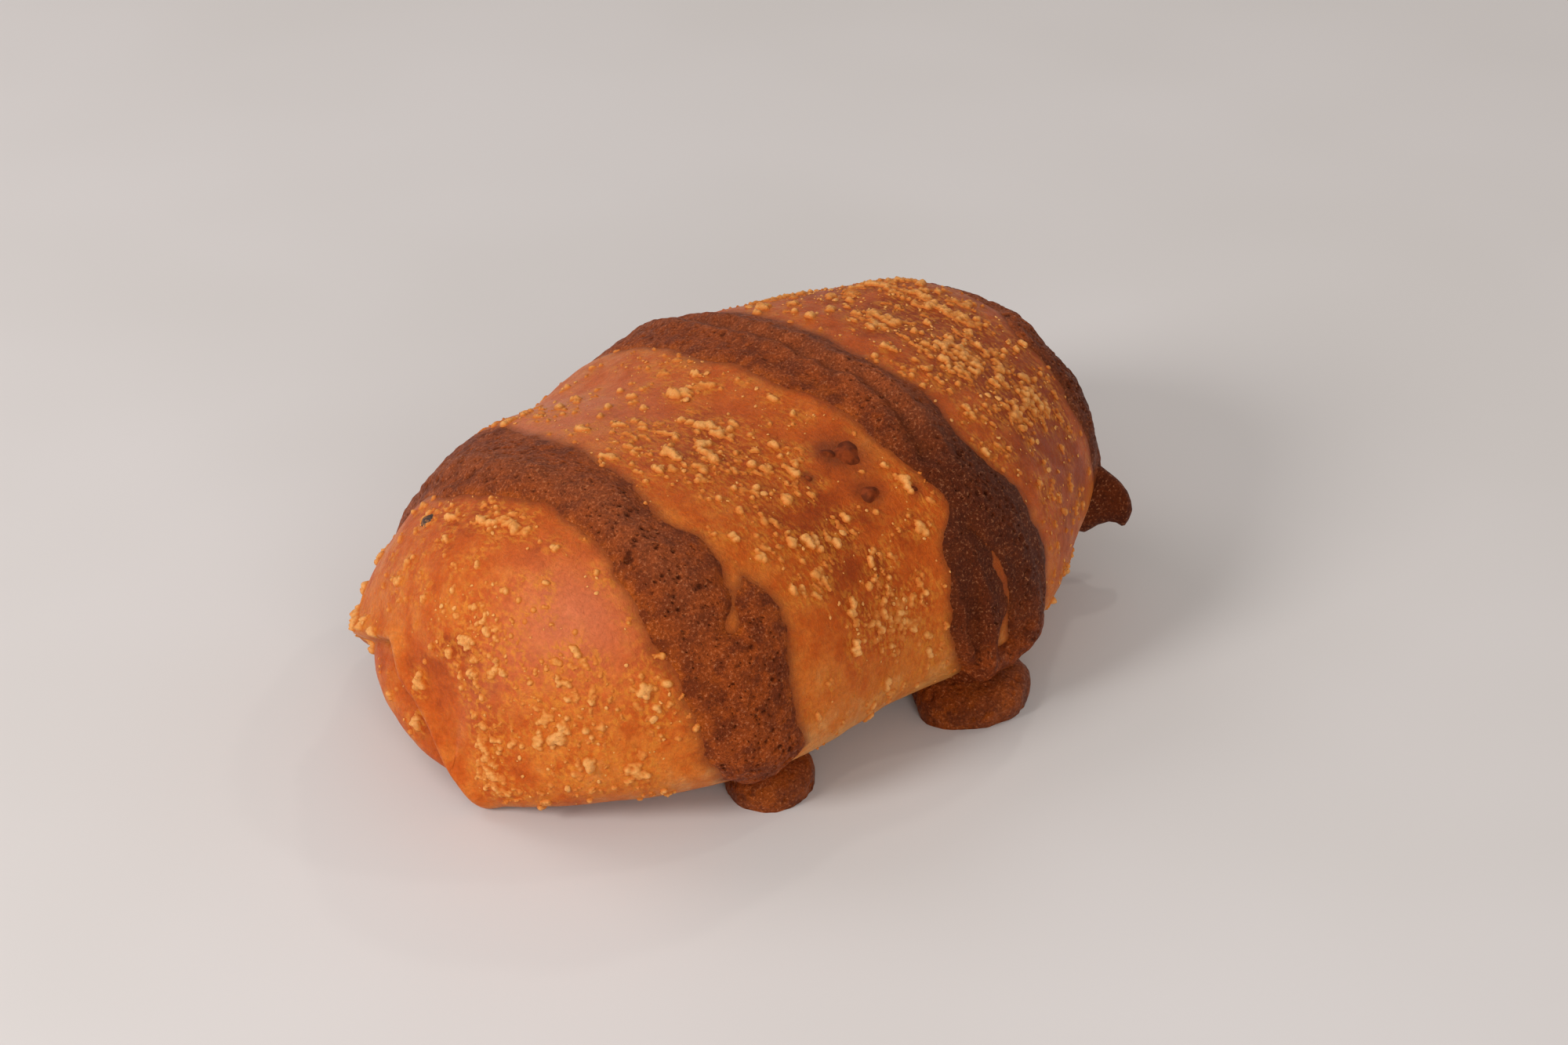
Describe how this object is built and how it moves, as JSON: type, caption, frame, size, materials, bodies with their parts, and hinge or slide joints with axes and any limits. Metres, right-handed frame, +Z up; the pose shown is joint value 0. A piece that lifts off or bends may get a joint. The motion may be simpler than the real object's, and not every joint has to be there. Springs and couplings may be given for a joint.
{
  "type": "cream bun",
  "caption": "Oblong golden sweet roll, lobed by bands of dark cocoa batter piped across it that run down into pooled feet, with pale butter crumbs on top.",
  "frame": {"origin": "middle of the whole bun's bounding box, on the flat base it rests on", "axes": "+X along the bun from its near, rounded end to its far end; +Y across it; +Z up"},
  "size_m": [0.1408, 0.1086, 0.0541],
  "materials": {
    "crust": "satin",
    "cocoa_batter": "matte",
    "butter_crumb": "matte"
  },
  "bodies": {
    "root": {"bread_body": "crust", "cocoa_band_near": "cocoa_batter", "cocoa_band_middle": "cocoa_batter", "cocoa_band_far": "cocoa_batter", "cocoa_spot_upper": "cocoa_batter", "cocoa_spot_lower": "cocoa_batter", "crumb_clump_01": "butter_crumb", "crumb_clump_02": "butter_crumb", "crumb_clump_03": "butter_crumb", "crumb_clump_04": "butter_crumb", "crumb_clump_05": "butter_crumb", "crumb_clump_06": "butter_crumb", "crumb_clump_07": "butter_crumb", "crumb_clump_08": "butter_crumb", "crumb_clump_09": "butter_crumb", "crumb_clump_10": "butter_crumb", "crumb_clump_11": "butter_crumb", "crumb_clump_12": "butter_crumb", "crumb_clump_13": "butter_crumb", "crumb_clump_14": "butter_crumb", "crumb_clump_15": "butter_crumb", "crumb_clump_16": "butter_crumb", "crumb_clump_17": "butter_crumb", "crumb_clump_18": "butter_crumb", "crumb_clump_19": "butter_crumb", "crumb_clump_20": "butter_crumb", "crumb_clump_21": "butter_crumb", "crumb_clump_22": "butter_crumb", "crumb_clump_23": "butter_crumb", "crumb_clump_24": "butter_crumb"}
  },
  "joints": []
}
